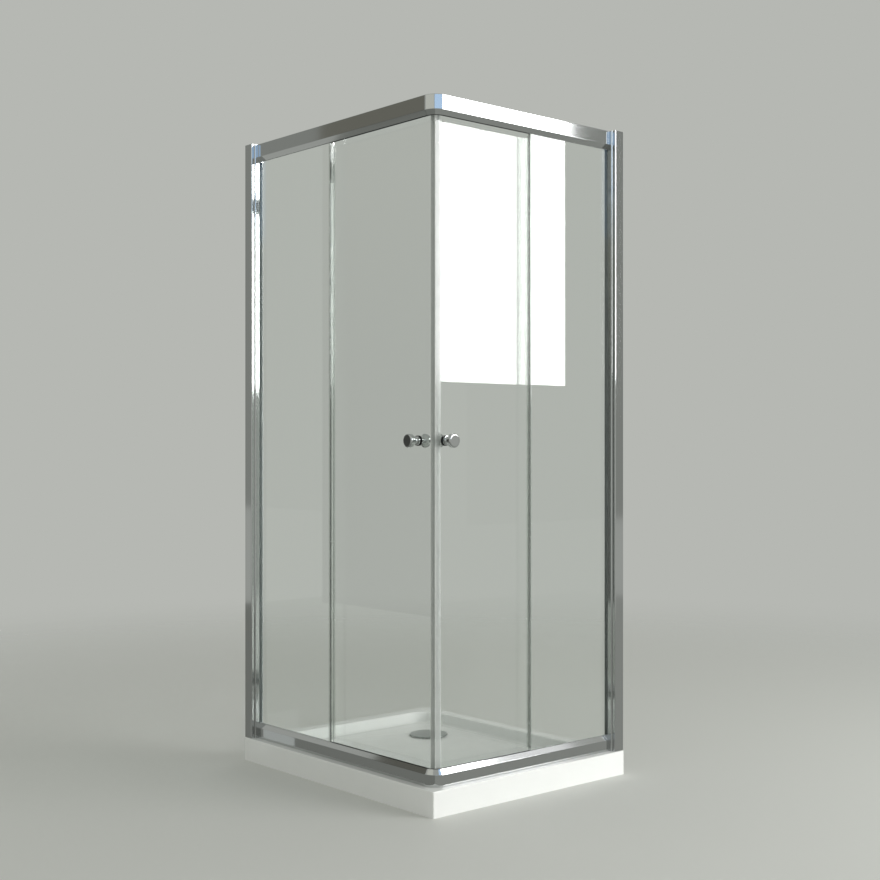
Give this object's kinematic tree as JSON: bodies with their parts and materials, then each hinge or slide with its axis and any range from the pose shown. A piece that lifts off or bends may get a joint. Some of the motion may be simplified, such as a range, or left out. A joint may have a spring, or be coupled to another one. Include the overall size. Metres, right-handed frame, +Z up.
{
  "type": "corner shower cabin",
  "caption": "Corner shower cabin: a low tray with a chromed frame, a fixed glass pane beside each wall and sliding glass doors that meet at the outer corner.",
  "frame": {"origin": "on the floor under the middle of the tray", "axes": "+Z up, +X along the short side towards its wall, +Y along the long side towards its wall"},
  "size_m": [0.75, 0.9, 1.91],
  "materials": {
    "white_acrylic": "glossy white sanitary acrylic",
    "chromed_aluminium": "polished chrome on extruded aluminium",
    "clear_glass": "clear toughened safety glass",
    "soft_vinyl": "translucent grey soft vinyl",
    "black_rubber": "matt black rubber",
    "magnet_rubber": "magnet-filled rubber strip",
    "white_acetal": "satin white acetal",
    "grey_acetal": "satin pale grey moulding",
    "stainless_steel": "plain stainless steel",
    "chromed_brass": "polished chrome on turned brass",
    "waste_plastic": "matt white polypropylene",
    "waste_chrome": "satin chrome on moulded plastic"
  },
  "bodies": {
    "frame": {"shower_tray": "white_acrylic", "drain_body": "waste_plastic", "drain_gasket": "black_rubber", "drain_nut": "waste_plastic", "wall_profile_left": "chromed_aluminium", "wall_profile_right": "chromed_aluminium", "post_left": "chromed_aluminium", "post_right": "chromed_aluminium", "bottom_rail_left": "chromed_aluminium", "bottom_rail_right": "chromed_aluminium", "top_rail_left": "chromed_aluminium", "top_rail_right": "chromed_aluminium", "bottom_corner": "chromed_aluminium", "top_corner": "chromed_aluminium", "frame_screws": "stainless_steel", "post_screws": "stainless_steel", "fixed_glass_left": "clear_glass", "fixed_glass_right": "clear_glass", "glazing_gaskets": "soft_vinyl", "pane_seals": "soft_vinyl", "door_stops": "black_rubber"},
    "drain_cover": {"drain_cover": "waste_chrome"},
    "left_door": {"door_glass_left": "clear_glass", "magnetic_seal_left": "soft_vinyl", "magnet_strip_left": "magnet_rubber", "back_seal_left": "soft_vinyl", "outer_knob_left": "chromed_brass", "inner_knob_left": "chromed_brass", "knob_stud_left": "stainless_steel", "knob_washers_left": "black_rubber", "roller_bolts_left": "stainless_steel", "roller_caps_left": "chromed_brass", "release_housings_left": "grey_acetal", "release_spring_left_front": "stainless_steel", "release_spring_left_rear": "stainless_steel"},
    "release_left_front": {"release_slider_left_front": "grey_acetal"},
    "top_wheel_left_front": {"top_wheel_left_front": "white_acetal"},
    "bottom_wheel_left_front": {"bottom_wheel_left_front": "white_acetal"},
    "release_left_rear": {"release_slider_left_rear": "grey_acetal"},
    "top_wheel_left_rear": {"top_wheel_left_rear": "white_acetal"},
    "bottom_wheel_left_rear": {"bottom_wheel_left_rear": "white_acetal"},
    "right_door": {"door_glass_right": "clear_glass", "magnetic_seal_right": "soft_vinyl", "magnet_strip_right": "magnet_rubber", "back_seal_right": "soft_vinyl", "outer_knob_right": "chromed_brass", "inner_knob_right": "chromed_brass", "knob_stud_right": "stainless_steel", "knob_washers_right": "black_rubber", "roller_bolts_right": "stainless_steel", "roller_caps_right": "chromed_brass", "release_housings_right": "grey_acetal", "release_spring_right_front": "stainless_steel", "release_spring_right_rear": "stainless_steel"},
    "release_right_front": {"release_slider_right_front": "grey_acetal"},
    "top_wheel_right_front": {"top_wheel_right_front": "white_acetal"},
    "bottom_wheel_right_front": {"bottom_wheel_right_front": "white_acetal"},
    "release_right_rear": {"release_slider_right_rear": "grey_acetal"},
    "top_wheel_right_rear": {"top_wheel_right_rear": "white_acetal"},
    "bottom_wheel_right_rear": {"bottom_wheel_right_rear": "white_acetal"}
  },
  "joints": [
    {"name": "drain_cover_lift", "type": "slide", "parent": "frame", "child": "drain_cover", "axis": [0, 0, 1], "range_m": [0, 0.06]},
    {"name": "left_door_slide", "type": "slide", "parent": "frame", "child": "left_door", "axis": [0, 1, 0], "range_m": [0, 0.317]},
    {"name": "release_left_front_press", "type": "slide", "parent": "left_door", "child": "release_left_front", "axis": [0, 0, 1], "range_m": [-0.005, 0], "stiffness_N_per_m": 1500, "springref_m": 0.004, "deforming": ["release_spring_left_front"]},
    {"name": "top_wheel_left_front_spin", "type": "hinge", "parent": "left_door", "child": "top_wheel_left_front", "pos_m": [-0.3315, -0.321, 1.8908], "axis": [1, 0, 0], "continuous": true},
    {"name": "bottom_wheel_left_front_spin", "type": "hinge", "parent": "release_left_front", "child": "bottom_wheel_left_front", "pos_m": [-0.3315, -0.321, 0.0892], "axis": [1, 0, 0], "continuous": true},
    {"name": "release_left_rear_press", "type": "slide", "parent": "left_door", "child": "release_left_rear", "axis": [0, 0, 1], "range_m": [-0.005, 0], "stiffness_N_per_m": 1500, "springref_m": 0.004, "deforming": ["release_spring_left_rear"]},
    {"name": "top_wheel_left_rear_spin", "type": "hinge", "parent": "left_door", "child": "top_wheel_left_rear", "pos_m": [-0.3315, 0.003, 1.8908], "axis": [1, 0, 0], "continuous": true},
    {"name": "bottom_wheel_left_rear_spin", "type": "hinge", "parent": "release_left_rear", "child": "bottom_wheel_left_rear", "pos_m": [-0.3315, 0.003, 0.0892], "axis": [1, 0, 0], "continuous": true},
    {"name": "right_door_slide", "type": "slide", "parent": "frame", "child": "right_door", "axis": [1, 0, 0], "range_m": [0, 0.259]},
    {"name": "release_right_front_press", "type": "slide", "parent": "right_door", "child": "release_right_front", "axis": [0, 0, 1], "range_m": [-0.005, 0], "stiffness_N_per_m": 1500, "springref_m": 0.004, "deforming": ["release_spring_right_front"]},
    {"name": "top_wheel_right_front_spin", "type": "hinge", "parent": "right_door", "child": "top_wheel_right_front", "pos_m": [-0.246, -0.4065, 1.8908], "axis": [0, 1, 0], "continuous": true},
    {"name": "bottom_wheel_right_front_spin", "type": "hinge", "parent": "release_right_front", "child": "bottom_wheel_right_front", "pos_m": [-0.246, -0.4065, 0.0892], "axis": [0, 1, 0], "continuous": true},
    {"name": "release_right_rear_press", "type": "slide", "parent": "right_door", "child": "release_right_rear", "axis": [0, 0, 1], "range_m": [-0.005, 0], "stiffness_N_per_m": 1500, "springref_m": 0.004, "deforming": ["release_spring_right_rear"]},
    {"name": "top_wheel_right_rear_spin", "type": "hinge", "parent": "right_door", "child": "top_wheel_right_rear", "pos_m": [-0.027, -0.4065, 1.8908], "axis": [0, 1, 0], "continuous": true},
    {"name": "bottom_wheel_right_rear_spin", "type": "hinge", "parent": "release_right_rear", "child": "bottom_wheel_right_rear", "pos_m": [-0.027, -0.4065, 0.0892], "axis": [0, 1, 0], "continuous": true}
  ],
  "couplings": [
    {"joint": "top_wheel_left_front_spin", "follows": "left_door_slide", "rad_per_m": -125},
    {"joint": "bottom_wheel_left_front_spin", "follows": "left_door_slide", "rad_per_m": 125},
    {"joint": "top_wheel_left_rear_spin", "follows": "left_door_slide", "rad_per_m": -125},
    {"joint": "bottom_wheel_left_rear_spin", "follows": "left_door_slide", "rad_per_m": 125},
    {"joint": "top_wheel_right_front_spin", "follows": "right_door_slide", "rad_per_m": 125},
    {"joint": "bottom_wheel_right_front_spin", "follows": "right_door_slide", "rad_per_m": -125},
    {"joint": "top_wheel_right_rear_spin", "follows": "right_door_slide", "rad_per_m": 125},
    {"joint": "bottom_wheel_right_rear_spin", "follows": "right_door_slide", "rad_per_m": -125}
  ]
}
